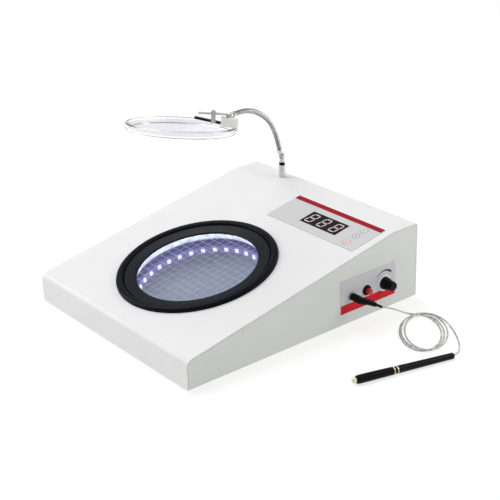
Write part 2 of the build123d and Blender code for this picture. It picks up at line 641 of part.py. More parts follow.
def cord_tube(route, name):
    """A round tube along straight runs joined by the largest arcs that they allow."""
    points = [Vector(*point) for point in route]
    runs = [b - a for a, b in zip(points, points[1:])]
    radii = []
    for before, after in zip(runs, runs[1:]):
        turn = radians(before.get_angle(after))
        radii.append(0.45 * min(before.length, after.length) / tan(turn / 2))
    path = FilletPolyline(*points, radius=radii)
    tube_solid = sweep(Plane(path @ 0, z_dir=path % 0) * Circle(CORD_RADIUS), path=path)
    expected = pi * CORD_RADIUS ** 2 * path.length
    print(name, "length", round(path.length, 1), "radii", [round(r, 1) for r in radii],
          "volume ratio", round(tube_solid.volume / expected, 3))
    return tube_solid


def build_cord():
    nodes["cord_lead"] = cord_tube(LEAD_ROUTE, "cord_lead")
    half = COIL_BAND / 2
    outer = Ellipse(COIL_HALF_LENGTH + half, COIL_HALF_WIDTH + half)
    inner = Ellipse(COIL_HALF_LENGTH - half, COIL_HALF_WIDTH - half)
    coil = extrude(outer - inner, COIL_HEIGHT)
    coil = fillet(coil.edges().group_by(Axis.Z)[-1], 2.0)
    nodes["cord_coil"] = Pos(*COIL_CENTRE, 0) * Rot(0, 0, COIL_TURN) * coil
    nodes["cord_tail"] = cord_tube(TAIL_ROUTE, "cord_tail")


# ------------------------------------------------------------------ the whole object
build_case()
build_stage()
build_display()
build_side_controls()
build_inlet()
ball_frame = build_neck()
build_lens(lens_frame(ball_frame))
pen_rear = build_pen()
build_plug()
build_cord()

# The row frame stands at the middle of the underside of everything but the lead and its plug.
CORD_NODES = ["plug_body", "plug_pin", "cord_lead", "cord_coil", "cord_tail"]
boxes = [shape.bounding_box() for name, shape in nodes.items() if name not in CORD_NODES]
low_x, high_x = min(box.min.X for box in boxes), max(box.max.X for box in boxes)
low_y, high_y = min(box.min.Y for box in boxes), max(box.max.Y for box in boxes)
row = Pos(-(low_x + high_x) / 2, -(low_y + high_y) / 2, 0)

if __name__ == "__main__":
    os.makedirs("parts", exist_ok=True)
    print("row shift", row.position, "pen rear", pen_rear.position)
    for name, shape in nodes.items():
        export_step(row * shape, f"parts/{name}.step")
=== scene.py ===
import math

import bmesh
import bpy
from mathutils import Matrix, Vector


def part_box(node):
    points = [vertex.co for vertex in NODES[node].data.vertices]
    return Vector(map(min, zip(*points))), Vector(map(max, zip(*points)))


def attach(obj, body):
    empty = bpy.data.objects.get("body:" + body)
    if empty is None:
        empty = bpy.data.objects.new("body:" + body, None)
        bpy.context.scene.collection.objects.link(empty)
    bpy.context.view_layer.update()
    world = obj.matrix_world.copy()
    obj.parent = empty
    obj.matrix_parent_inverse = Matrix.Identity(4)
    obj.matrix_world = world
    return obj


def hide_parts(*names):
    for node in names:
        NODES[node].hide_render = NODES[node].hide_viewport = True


# The looks of a bench-top colony counter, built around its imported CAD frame. Metres, +Z up.
# Local shapes are written in millimetres and placed on faces that are read from the CAD nodes.

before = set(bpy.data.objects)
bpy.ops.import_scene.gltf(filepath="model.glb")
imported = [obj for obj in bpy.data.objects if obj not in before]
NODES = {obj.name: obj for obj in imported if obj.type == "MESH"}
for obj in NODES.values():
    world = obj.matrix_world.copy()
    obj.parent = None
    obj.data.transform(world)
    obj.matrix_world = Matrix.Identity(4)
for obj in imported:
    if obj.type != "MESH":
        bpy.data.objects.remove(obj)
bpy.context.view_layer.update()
SCENE = bpy.context.scene
MM = 0.001

# ------------------------------------------------------------------ frames read from the CAD
cover_low, cover_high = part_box("top_cover")
CASE_ORIGIN = Vector(((cover_low.x + cover_high.x) / 2, cover_low.y, 0.0))


def between(start, end, share):
    """The value at a share of the way from start to end."""
    return start * (1 - share) + end * share


def case_point(x, y, z):
    """A place in the case's own frame, in millimetres, as a point of the row frame."""
    return CASE_ORIGIN + Vector((x, y, z)) * MM


def largest_normal(node):
    """The direction of a node's largest flat face."""
    face = max(NODES[node].data.polygons, key=lambda polygon: polygon.area)
    normal = face.normal.copy()
    return normal if normal.z >= 0 else -normal


def extent(node, axis):
    """The least and greatest reach of a node along an axis."""
    reach = [vertex.co.dot(axis) for vertex in NODES[node].data.vertices]
    return min(reach), max(reach)


def face_frame(node, across, normal):
    """A frame on the outermost level of a node: X across, Z out, origin in the middle."""
    up = normal.cross(across)
    axes = (across, up, normal)
    middle = Vector()
    for axis in axes[:2]:
        low, high = extent(node, axis)
        middle += axis * (low + high) / 2
    middle += normal * extent(node, normal)[1]
    rotation = Matrix(axes).transposed().to_4x4()
    return Matrix.Translation(middle) @ rotation


def centre_of(node):
    """The mean of a node's corners, which lies on the axis of a turned part."""
    corners = [corner.co for corner in NODES[node].data.vertices]
    return sum(corners, Vector()) / len(corners)


def off_axis(point, origin, axis):
    """How far a point is from the line through an origin along an axis."""
    offset = point - origin
    return (offset - axis * offset.dot(axis)).length


SLOPE_NORMAL = largest_normal("stage_glass")
ACROSS = Vector((1.0, 0.0, 0.0))
ALONG = Vector((0.0, 1.0, 0.0))
ON_GLASS = face_frame("stage_glass", ACROSS, SLOPE_NORMAL)
ON_OVERLAY = face_frame("panel_overlay", ACROSS, SLOPE_NORMAL)
ON_LABEL = face_frame("side_label", ALONG, ACROSS)


# ------------------------------------------------------------------ camera
CAMERA_PLACE = (1108.0, -668.4, 683.75)
CAMERA_TARGET = (12.3, 200.7, 63.0)
CAMERA_ROLL = math.radians(-1.76)


def add_camera():
    """A long lens from the front right, looking down at the slope."""
    place = case_point(*CAMERA_PLACE)
    target = case_point(*CAMERA_TARGET)
    back = (place - target).normalized()
    level = Vector((0.0, 0.0, 1.0)).cross(back).normalized()
    upright = back.cross(level)
    x_axis = level * math.cos(CAMERA_ROLL) + upright * math.sin(CAMERA_ROLL)
    y_axis = upright * math.cos(CAMERA_ROLL) - level * math.sin(CAMERA_ROLL)
    data = bpy.data.cameras.new("camera")
    data.lens = 90.0
    data.sensor_width = 36.0
    data.clip_start = 0.05
    data.clip_end = 60.0
    camera = bpy.data.objects.new("camera", data)
    SCENE.collection.objects.link(camera)
    rotation = Matrix((x_axis, y_axis, back)).transposed().to_4x4()
    camera.matrix_world = Matrix.Translation(place) @ rotation
    SCENE.camera = camera


# ------------------------------------------------------------------ materials
NOISE_RANGE = (0.3, 0.7)
EDGE_SHARPNESS = 4.0


def new_material(name):
    """A material with its node tree and its shader."""
    made = bpy.data.materials.new(name)
    made.use_nodes = True
    return made, made.node_tree, made.node_tree.nodes["Principled BSDF"]


def noise(tree, size, detail=2.0):
    """Noise in the object's own coordinates, with features of that size in metres."""
    place = tree.nodes.new("ShaderNodeTexCoord")
    texture = tree.nodes.new("ShaderNodeTexNoise")
    texture.inputs["Scale"].default_value = 1.0 / size
    texture.inputs["Detail"].default_value = detail
    tree.links.new(place.outputs["Object"], texture.inputs["Vector"])
    return texture.outputs["Fac"]


def remap(tree, value, from_range, to_range):
    """A value carried from one range to another."""
    span = tree.nodes.new("ShaderNodeMapRange")
    span.inputs["From Min"].default_value, span.inputs["From Max"].default_value = from_range
    span.inputs["To Min"].default_value, span.inputs["To Max"].default_value = to_range
    tree.links.new(value, span.inputs["Value"])
    return span.outputs["Result"]


def reckon(tree, operation, first, second):
    """Two values combined by an arithmetic operation; the second may be a number."""
    node = tree.nodes.new("ShaderNodeMath")
    node.operation = operation
    tree.links.new(first, node.inputs[0])
    if isinstance(second, float):
        node.inputs[1].default_value = second
    else:
        tree.links.new(second, node.inputs[1])
    return node.outputs["Value"]


def spread(tree, factor, low, high):
    """A noise factor's usual range stretched between two values."""
    return remap(tree, factor, NOISE_RANGE, (low, high))


def blend_colours(tree, factor, first, second):
    """A colour between two others."""
    mix = tree.nodes.new("ShaderNodeMix")
    mix.data_type = "RGBA"
    mix.inputs["A"].default_value = (*first, 1.0)
    mix.inputs["B"].default_value = (*second, 1.0)
    tree.links.new(factor, mix.inputs["Factor"])
    return mix.outputs["Result"]


def relief(tree, shader, factor, depth):
    """Fine bumps of that depth in metres."""
    bump = tree.nodes.new("ShaderNodeBump")
    bump.inputs["Strength"].default_value = 1.0
    bump.inputs["Distance"].default_value = depth
    tree.links.new(factor, bump.inputs["Height"])
    tree.links.new(bump.outputs["Normal"], shader.inputs["Normal"])


def finish_material(
    name, colour, roughness, metallic=0.0, grain=0.0008, depth=0.00001, tint=0.04, patch=0.03, shine=0.5
):
    """A finish whose tone and gloss drift gently over patches, with a fine surface grain."""
    made, tree, shader = new_material(name)
    shader.inputs["Metallic"].default_value = metallic
    shader.inputs["Specular IOR Level"].default_value = shine
    drift = spread(tree, noise(tree, patch, 3.0), 0.0, 1.0)
    darker = [channel * (1.0 - tint) for channel in colour]
    lighter = [min(1.0, channel * (1.0 + tint)) for channel in colour]
    tree.links.new(blend_colours(tree, drift, darker, lighter), shader.inputs["Base Color"])
    gloss = spread(tree, noise(tree, patch * 0.4, 4.0), roughness * 0.85, roughness * 1.15)
    tree.links.new(gloss, shader.inputs["Roughness"])
    relief(tree, shader, noise(tree, grain), depth)
    return made


def clear_material(name, tint, roughness, index):
    """Clear glass or acrylic whose gloss is a little uneven."""
    made, tree, shader = new_material(name)
    shader.inputs["Transmission Weight"].default_value = 1.0
    shader.inputs["IOR"].default_value = index
    shader.inputs["Base Color"].default_value = (*tint, 1.0)
    gloss = spread(tree, noise(tree, 0.02, 3.0), roughness * 0.5, roughness * 1.5)
    tree.links.new(gloss, shader.inputs["Roughness"])
    return made


def sheer_material(name, tint, roughness, head_on, edge_on, haze):
    """A thin clear plate with faint haze: light goes straight through, and its face mirrors a little."""
    made, tree, shader = new_material(name)
    tree.nodes.remove(shader)
    through = tree.nodes.new("ShaderNodeBsdfTransparent")
    hazy = [channel * (1.0 - haze) for channel in tint]
    drift = spread(tree, noise(tree, 0.05, 2.0), 0.0, 1.0)
    tree.links.new(blend_colours(tree, drift, hazy, tint), through.inputs["Color"])
    mirror = tree.nodes.new("ShaderNodeBsdfGlossy")
    gloss = spread(tree, noise(tree, 0.015, 3.0), roughness * 0.5, roughness * 1.5)
    tree.links.new(gloss, mirror.inputs["Roughness"])
    facing = tree.nodes.new("ShaderNodeLayerWeight")
    grazing = reckon(tree, "POWER", facing.outputs["Facing"], EDGE_SHARPNESS)
    share = remap(tree, grazing, (0.0, 1.0), (head_on, edge_on))
    mix = tree.nodes.new("ShaderNodeMixShader")
    tree.links.new(share, mix.inputs["Fac"])
    tree.links.new(through.outputs["BSDF"], mix.inputs[1])
    tree.links.new(mirror.outputs["BSDF"], mix.inputs[2])
    output = tree.nodes["Material Output"]
    tree.links.new(mix.outputs["Shader"], output.inputs["Surface"])
    return made


def glowing_material(name, colour, strength):
    """A glowing part, used for the LED chips, the display digits and the painted glow on the strip behind the
    LEDs: its glow varies a little over the surface.
    """
    made, tree, shader = new_material(name)
    shader.inputs["Base Color"].default_value = (*colour, 1.0)
    shader.inputs["Roughness"].default_value = 0.4
    shader.inputs["Emission Color"].default_value = (*colour, 1.0)
    glow = spread(tree, noise(tree, 0.004), strength * 0.9, strength * 1.1)
    tree.links.new(glow, shader.inputs["Emission Strength"])
    return made


def floor_material():
    """A lit white table, so that it stays white and shadows on it are faint."""
    made, tree, shader = new_material("lit_table")
    shader.inputs["Base Color"].default_value = (0.38, 0.38, 0.38, 1.0)
    shader.inputs["Roughness"].default_value = 0.85
    shader.inputs["Specular IOR Level"].default_value = 0.1
    shader.inputs["Emission Color"].default_value = (1.0, 1.0, 1.0, 1.0)
    glow = spread(tree, noise(tree, 0.3, 2.0), 0.65, 0.66)
    tree.links.new(glow, shader.inputs["Emission Strength"])
    return made


# Painted light: the reflector's tones by height stand in for the LEDs' light on it, from the floor through a
# violet wall to a painted bright band under the glass.
WELL_PAINTED_LIGHT_TONES = [
    (0.0, (0.25, 0.275, 0.34)),
    (0.10, (0.25, 0.275, 0.34)),
    (0.15, (0.24, 0.22, 0.50)),
    (0.34, (0.30, 0.27, 0.68)),
    (0.50, (0.15, 0.135, 0.42)),
    (0.76, (0.07, 0.062, 0.24)),
    (0.83, (0.80, 0.88, 1.00)),
    (1.0, (0.98, 1.0, 1.0)),
]
# Painted glow: the reflector glows weakly all over and fully in that bright band near its top.
PAINTED_GLOW_BAND = (0.78, 0.86)
WELL_PAINTED_GLOW_RANGE = (0.32, 1.0)


def painted_light_well_material():
    """The reflector with painted light: its tone and its glow go by height between its floor and the glass,
    standing in for the LEDs' light on it.
    """
    made, tree, shader = new_material("well_reflector_painted_glow")
    floor, top = extent("reflector_well", SLOPE_NORMAL)
    place = tree.nodes.new("ShaderNodeTexCoord")
    height = tree.nodes.new("ShaderNodeVectorMath")
    height.operation = "DOT_PRODUCT"
    height.inputs[1].default_value = SLOPE_NORMAL
    tree.links.new(place.outputs["Object"], height.inputs[0])
    share = remap(tree, height.outputs["Value"], (floor, top), (0.0, 1.0))
    ramp = tree.nodes.new("ShaderNodeValToRGB")
    points = ramp.color_ramp.elements
    for point, (position, tone) in zip(points, (WELL_PAINTED_LIGHT_TONES[0], WELL_PAINTED_LIGHT_TONES[-1])):
        point.position = position
        point.color = (*tone, 1.0)
    for position, tone in WELL_PAINTED_LIGHT_TONES[1:-1]:
        points.new(position).color = (*tone, 1.0)
    tree.links.new(share, ramp.inputs["Fac"])
    tree.links.new(ramp.outputs["Color"], shader.inputs["Base Color"])
    tree.links.new(ramp.outputs["Color"], shader.inputs["Emission Color"])
    # Painted glow, strongest in the bright band near the top and mottled.
    painted_rim_glow = remap(tree, share, PAINTED_GLOW_BAND, WELL_PAINTED_GLOW_RANGE)
    mottle = spread(tree, noise(tree, 0.007, 3.0), 0.6, 1.3)
    tree.links.new(reckon(tree, "MULTIPLY", painted_rim_glow, mottle), shader.inputs["Emission Strength"])
    gloss = spread(tree, noise(tree, 0.02), 0.3, 0.4)
    tree.links.new(gloss, shader.inputs["Roughness"])
    return made


def add_materials():
    """Every material by name."""
    enamel = {"grain": 0.0012, "depth": 0.000012, "tint": 0.012}
    return {
        "paint": finish_material("paint_white", (0.745, 0.745, 0.75), 0.36, **enamel),
        # Painted shade: the side panels take a darker, greener copy of the white paint, standing in for the
        # shade on the sides.
        "sides_painted_shade": finish_material("paint_white_in_painted_shade", (0.60, 0.615, 0.59), 0.40, **enamel),
        "steel": finish_material("steel_plate", (0.45, 0.46, 0.47), 0.35, metallic=0.9, grain=0.0006),
        "rubber": finish_material("rubber_black", (0.02, 0.02, 0.021), 0.75, grain=0.0005, depth=0.00003),
        "screws": finish_material("screw_steel", (0.62, 0.62, 0.61), 0.28, metallic=1.0, grain=0.0004),
        "ring": finish_material("ring_black", (0.004, 0.005, 0.009), 0.30, grain=0.0009, shine=0.06),
        "dish": finish_material("dish_ring_black", (0.006, 0.008, 0.013), 0.32, grain=0.0009, shine=0.09),
        "glass": sheer_material("glass_plate", (0.94, 0.96, 0.98), 0.05, 0.03, 0.7, 0.03),
        "acrylic": clear_material("acrylic_rim", (0.94, 0.94, 0.95), 0.06, 1.49),
        "lens": sheer_material("lens_clear", (0.985, 0.98, 0.995), 0.04, 0.01, 0.06, 0.13),
        "well": painted_light_well_material(),
        "led": glowing_material("led_white", (0.86, 0.85, 1.0), 1.0),
        # The strip behind the LEDs is no lamp: its violet colour and glow are painted light from the LEDs.
        "painted_glow_strip": glowing_material("led_strip_painted_violet_glow", (0.34, 0.32, 0.62), 0.25),
        "overlay": finish_material("overlay_grey", (0.545, 0.555, 0.55), 0.42, grain=0.0005, tint=0.02),
        "red": finish_material("print_red", (0.30, 0.003, 0.013), 0.45, grain=0.0006, tint=0.05, shine=0.12),
        "side_red": finish_material("print_side_red", (0.58, 0.008, 0.015), 0.45, tint=0.05, shine=0.12),
        "window": finish_material("display_black", (0.003, 0.0024, 0.003), 0.16, grain=0.002, shine=0.20),
        "digit": glowing_material("digit_pale", (0.46, 0.37, 0.37), 0.20),
        "key": finish_material("key_cap", (0.62, 0.63, 0.625), 0.4, grain=0.0005, tint=0.02),
        "orange": finish_material("print_orange", (0.78, 0.16, 0.07), 0.45, tint=0.05),
        "grey": finish_material("print_grey", (0.23, 0.26, 0.24), 0.45, tint=0.05),
        "pale": finish_material("print_pale", (0.36, 0.37, 0.42), 0.45, tint=0.05),
        "grid_print": finish_material("print_grid", (0.44, 0.45, 0.54), 0.45, tint=0.05),
        "label": finish_material("label_grey", (0.515, 0.51, 0.535), 0.42, grain=0.0005, tint=0.02),
        "white_print": finish_material("print_white", (0.80, 0.80, 0.82), 0.45, tint=0.02),
        "black_print": finish_material("print_black", (0.012, 0.012, 0.014), 0.45, tint=0.05),
        "board": finish_material("board_green", (0.02, 0.12, 0.05), 0.45, grain=0.0006, tint=0.1),
        "plastic": finish_material("plastic_black", (0.003, 0.0038, 0.0036), 0.38, depth=0.00002, shine=0.09),
        "button": finish_material("button_red", (0.52, 0.012, 0.02), 0.28),
        "chrome": finish_material(
            "hose_chrome", (0.36, 0.36, 0.37), 0.26, metallic=1.0, patch=0.01, tint=0.12
        ),
        "satin": finish_material(
            "satin_chrome", (0.62, 0.62, 0.62), 0.32, metallic=1.0, patch=0.008, tint=0.1
        ),
        "holder": finish_material("holder_white", (0.96, 0.96, 0.95), 0.38, tint=0.02),
        "lever": finish_material("lever_grey", (0.55, 0.55, 0.545), 0.36, metallic=0.1, tint=0.05),
        "pen": finish_material(
            "pen_black", (0.004, 0.004, 0.0045), 0.34, grain=0.0007, depth=0.00004, shine=0.10
        ),
        "pen_rear": finish_material("pen_rear_brown", (0.008, 0.0065, 0.005), 0.36, grain=0.0007, shine=0.12),
        "tip": finish_material("tip_cream", (0.80, 0.74, 0.50), 0.40, tint=0.05),
        "brass": finish_material("brass", (0.50, 0.44, 0.31), 0.28, metallic=1.0, patch=0.004, tint=0.12),
        "lead": finish_material(
            "lead_silver", (0.46, 0.46, 0.44), 0.36, metallic=0.2, patch=0.005, tint=0.45
        ),
        "floor": floor_material(),
    }


# In metres: past STRIP_RADIUS from the stage's axis lies the strip behind the LEDs, which gets a painted
# violet glow, past BLADE_HALF_WIDTH along the clip's pin lie its ears, and within GROOVE_RADIUS of the pen's
# axis lies its rings' groove.
STRIP_RADIUS = 0.0783
BLADE_HALF_WIDTH = 0.0054
GROOVE_RADIUS = 0.00415
FINISHES = {
    "paint": ["top_cover"],
    # The side panels wear the white paint's painted-shade copy.
    "sides_painted_shade": ["left_side_panel", "right_side_panel"],
    "steel": ["base_plate", "power_supply", "panel_nuts"],
    "rubber": ["rubber_feet"],
    "screws": ["m3_screws", "clip_pin", "clip_spring", "knob_shaft", "plug_pin"],
    "ring": ["stage_ring"],
    "dish": ["dish_ring"],
    "glass": ["stage_glass"],
    "well": ["reflector_well"],
    "led": ["led_ring"],
    "overlay": ["panel_overlay"],
    "window": ["display_modules"],
    "board": ["main_board"],
    "key": ["reset_key", "mode_key", "sound_key"],
    "plastic": [
        "tact_switches", "beeper", "probe_jack", "push_button_body", "potentiometer", "control_knob",
        "power_inlet", "power_rocker", "fuse_drawer", "neck_band", "clip_lower_lever", "plug_body",
    ],
    "label": ["side_label"],
    "button": ["button_cap"],
    "satin": ["neck_socket", "neck_post", "neck_ferrule", "neck_ball_end"],
    "chrome": [f"neck_link_{number}" for number in range(1, 9)],
    "lens": ["magnifier_lens"],
    "acrylic": ["lens_rim"],
    "holder": ["clip_holder"],
    "lever": ["clip_upper_lever"],
    "pen": ["pen_front_barrel"],
    "pen_rear": ["pen_rear_barrel"],
    "tip": ["pen_tip"],
    "brass": ["pen_rings"],
}


def paint_nodes(materials):
    """Each node's finish."""
    for name, members in FINISHES.items():
        for member in members:
            mesh = NODES[member].data
            mesh.materials.clear()
            mesh.materials.append(materials[name])


def repaint(node, material, chosen):
    """Give the faces of a node whose middle passes the test a second finish."""
    mesh = NODES[node].data
    mesh.materials.append(material)
    for face in mesh.polygons:
        if chosen(face.center):
            face.material_index = 1


def paint_details(materials):
    """Second finishes: the painted violet glow on the strip behind the LEDs, the clip's ears and the groove
    in the pen's rings.
    """
    stage_middle = ON_GLASS.translation
    # The strip behind the LEDs takes the painted violet glow.
    repaint(
        "led_ring", materials["painted_glow_strip"],
        lambda point: off_axis(point, stage_middle, SLOPE_NORMAL) > STRIP_RADIUS,
    )
    pin_middle = centre_of("clip_pin")
    corners = [corner.co - pin_middle for corner in NODES["clip_pin"].data.vertices]
    far_corner = max(corners, key=lambda corner: corner.length)
    far_side = [corner for corner in corners if corner.dot(far_corner) > 0]
    pin_axis = sum(far_side, Vector()).normalized()
    repaint(
        "clip_lower_lever", materials["lever"],
        lambda point: abs((point - pin_middle).dot(pin_axis)) > BLADE_HALF_WIDTH,
    )
    pen_middle = centre_of("pen_front_barrel")
    pen_axis = (centre_of("pen_rear_barrel") - pen_middle).normalized()
    repaint(
        "pen_rings", materials["pen"],
        lambda point: off_axis(point, pen_middle, pen_axis) < GROOVE_RADIUS,
    )


# ------------------------------------------------------------------ making pieces
def add_piece(name, shape, place, body, material):
    """A piece from a shape in local millimetres, put in place and riding on a body."""
    shape.transform(place @ Matrix.Scale(MM, 4))
    mesh = bpy.data.meshes.new(name)
    shape.to_mesh(mesh)
    shape.free()
    mesh.materials.append(material)
    made = bpy.data.objects.new(name, mesh)
    SCENE.collection.objects.link(made)
    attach(made, body)


def add_plate(shape, outline, low, high):
    """A flat plate with an outline that runs anticlockwise."""
    lower = [shape.verts.new((x, y, low)) for x, y in outline]
    upper = [shape.verts.new((x, y, high)) for x, y in outline]
    shape.faces.new(reversed(lower))
    shape.faces.new(upper)
    for index, start in enumerate(lower):
        following = (index + 1) % len(lower)
        shape.faces.new((start, lower[following], upper[following], upper[index]))


def rounded_outline(x_low, x_high, y_low, y_high, radius, steps=5):
    """A rectangle with rounded corners, anticlockwise."""
    corners = [(x_high, y_high, 0), (x_low, y_high, 90), (x_low, y_low, 180), (x_high, y_low, 270)]
    outline = []
    for x, y, start in corners:
        middle_x = x - math.copysign(radius, x - (x_low + x_high) / 2)
        middle_y = y - math.copysign(radius, y - (y_low + y_high) / 2)
        for step in range(steps + 1):
            angle = math.radians(start + 90 * step / steps)
            outline.append((middle_x + radius * math.cos(angle), middle_y + radius * math.sin(angle)))
    return outline


def add_band(shape, middle, stations, low, high, closed=False):
    """A flat curved band through stations of angle, inner radius and outer radius."""
    rows = []
    for angle, inner, outer in stations:
        turn = math.radians(angle)
        near = (middle[0] + inner * math.cos(turn), middle[1] + inner * math.sin(turn))
        far = (middle[0] + outer * math.cos(turn), middle[1] + outer * math.sin(turn))
        corners = [(*near, low), (*far, low), (*far, high), (*near, high)]
        rows.append([shape.verts.new(corner) for corner in corners])
    pairs = list(zip(rows, rows[1:]))
    if closed:
        pairs.append((rows[-1], rows[0]))
    for before, after in pairs:
        for corner in range(4):
            following = (corner + 1) % 4
            shape.faces.new((before[corner], before[following], after[following], after[corner]))
    if not closed:
        shape.faces.new(reversed(rows[0]))
        shape.faces.new(rows[-1])
    bmesh.ops.recalc_face_normals(shape, faces=shape.faces)


def ring_stations(inner, outer, steps=48):
    """Stations of a full ring, for a closed band."""
    return [(360 * step / steps, inner, outer) for step in range(steps)]


# ------------------------------------------------------------------ prints and marks
PRINT_LOW = 0.02
PRINT_HIGH = 0.07
DIGIT_HIGH = 0.09
DIGIT_PITCH = 21.3
GRID_REACH = 78.5
GRID_PITCH = 10.0
GRID_LINE = 0.44
GRID_THICKNESS = 0.05
GRID_STEP = 0.06
PRINT_INSET = 0.3
KEY_RING = (4.1, 4.75)


def add_grid(materials):
    """Ten-millimetre counting squares on the glass."""
    half_line = GRID_LINE / 2
    last = int(GRID_REACH // GRID_PITCH)
    shape = bmesh.new()
    for index in range(-last, last + 1):
        middle = index * GRID_PITCH
        half = math.sqrt(GRID_REACH ** 2 - middle ** 2)
        outline = [
            (middle - half_line, -half), (middle + half_line, -half),
            (middle + half_line, half), (middle - half_line, half),
        ]
        add_plate(shape, outline, PRINT_LOW, PRINT_LOW + GRID_THICKNESS)
        crossing = [(-y, x) for x, y in outline]
        add_plate(shape, crossing, PRINT_LOW + GRID_STEP, PRINT_LOW + GRID_STEP + GRID_THICKNESS)
    add_piece("glass_grid", shape, ON_GLASS, "housing", materials["grid_print"])


def add_digits(materials):
    """Three slanted seven-segment digits, all segments shown."""
    window = face_frame("display_modules", ACROSS, SLOPE_NORMAL)
    width, height, thick, gap, slant = 9.8, 16.8, 1.9, 0.3, math.tan(math.radians(9))
    half_w, half_h, half_t = width / 2, height / 2, thick / 2
    shape = bmesh.new()

    def add_segment(x, y, length, upright):
        half = length / 2 - gap
        points = [(-half, 0), (-half + half_t, -half_t), (half - half_t, -half_t)]
        points += [(half, 0), (half - half_t, half_t), (-half + half_t, half_t)]
        if upright:
            points = [(-b, a) for a, b in points]
        outline = [(x + a + (y + b) * slant, y + b) for a, b in points]
        add_plate(shape, outline, PRINT_LOW, DIGIT_HIGH)

    for digit in (-1, 0, 1):
        digit_x = digit * DIGIT_PITCH
        for y in (-half_h, 0, half_h):
            add_segment(digit_x, y, width, False)
        for x in (-half_w, half_w):
            for y in (-half_h / 2, half_h / 2):
                add_segment(digit_x + x, y, half_h, True)
    add_piece("display_digits", shape, window, "housing", materials["digit"])


def add_key_marks(materials):
    """A printed ring and a small generic sign on each key."""
    for node, tone, slot in (
        ("reset_key", "orange", "key_orange"),
        ("mode_key", "grey", "key_grey"),
        ("sound_key", "pale", "key_pale"),
    ):
        place = face_frame(node, ACROSS, SLOPE_NORMAL)
        shape = bmesh.new()
        add_band(shape, (0, 0), ring_stations(*KEY_RING), PRINT_LOW, PRINT_HIGH, closed=True)
        if node == "reset_key":
            sweep = [(angle, 1.3, 1.9) for angle in range(-40, 250, 10)]
            add_band(shape, (0, 0), sweep, PRINT_LOW, PRINT_HIGH)
            add_plate(shape, [(0.4, -1.6), (2.4, -1.6), (1.3, -0.2)], PRINT_LOW, PRINT_HIGH)
        elif node == "mode_key":
            for x in (-1.3, 0.0, 1.3):
                outline = rounded_outline(x - 0.32, x + 0.32, -1.8, 1.8, 0.2)
                add_plate(shape, outline, PRINT_LOW, PRINT_HIGH)
        else:
            speaker = [(-2.2, -0.7), (-1.2, -0.7), (0, -1.7), (0, 1.7), (-1.2, 0.7), (-2.2, 0.7)]
            add_plate(shape, speaker, PRINT_LOW, PRINT_HIGH)
            sweep = [(angle, 1.5, 2.0) for angle in range(-50, 51, 10)]
            add_band(shape, (0, 0), sweep, PRINT_LOW, PRINT_HIGH)
        add_piece(f"{node}_mark", shape, place, node, materials[tone])


OVERLAY_STRIPE = 8.0
LABEL_STRIPE = 11.5
STRIPE_CORNER = 0.8
BUTTON_HALO = (6.3, 7.6)
KNOB_HALO = (8.4, 10.6)
HALO_LOW = 0.08
HALO_HIGH = 0.12
SIGN_ANGLES = (138.0, 46.0)
SIGN_INNER = (16.4, 14.3)
SIGN_OUTER = (16.8, 17.4)
SIGN_STEPS = 24


def half_span(node, axis):
    """Half of a node's reach along an axis, in millimetres."""
    low, high = extent(node, axis)
    return (high - low) / 2 / MM


def stripe_outline(half_x, y_low, y_high):
    """A stripe across a panel, centred on it."""
    return rounded_outline(-half_x, half_x, y_low, y_high, STRIPE_CORNER)


def add_overlay_stripe(materials):
    """The red stripe along the overlay's rear edge."""
    half_x = half_span("panel_overlay", ACROSS)
    half_y = half_span("panel_overlay", SLOPE_NORMAL.cross(ACROSS))
    shape = bmesh.new()
    outline = stripe_outline(half_x - PRINT_INSET, half_y - OVERLAY_STRIPE, half_y - PRINT_INSET)
    add_plate(shape, outline, PRINT_LOW, PRINT_HIGH)
    add_piece("overlay_stripe", shape, ON_OVERLAY, "housing", materials["red"])


def label_spot(node):
    """A node's middle on the side label, in the label's local millimetres."""
    low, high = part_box(node)
    local = ON_LABEL.inverted() @ ((low + high) / 2)
    return local.x / MM, local.y / MM


def add_label_prints(materials):
    """The side label's red stripe, the pale rings round its controls and the brightness sign."""
    half_x = half_span("side_label", ALONG)
    half_y = half_span("side_label", Vector((0.0, 0.0, 1.0)))
    shape = bmesh.new()
    outline = stripe_outline(half_x - PRINT_INSET, -half_y + PRINT_INSET, -half_y + LABEL_STRIPE)
    add_plate(shape, outline, PRINT_LOW, PRINT_HIGH)
    add_piece("side_label_stripe", shape, ON_LABEL, "housing", materials["side_red"])

    halos = bmesh.new()
    for node, (inner, outer) in (("push_button_body", BUTTON_HALO), ("control_knob", KNOB_HALO)):
        add_band(halos, label_spot(node), ring_stations(inner, outer), HALO_LOW, HALO_HIGH, closed=True)
    add_piece("control_rings", halos, ON_LABEL, "housing", materials["white_print"])

    sign = bmesh.new()
    stations = []
    for step in range(SIGN_STEPS + 1):
        share = step / SIGN_STEPS
        stations.append([between(*ends, share) for ends in (SIGN_ANGLES, SIGN_INNER, SIGN_OUTER)])
    add_band(sign, label_spot("control_knob"), stations, PRINT_LOW, PRINT_HIGH)
    add_piece("brightness_sign", sign, ON_LABEL, "housing", materials["black_print"])


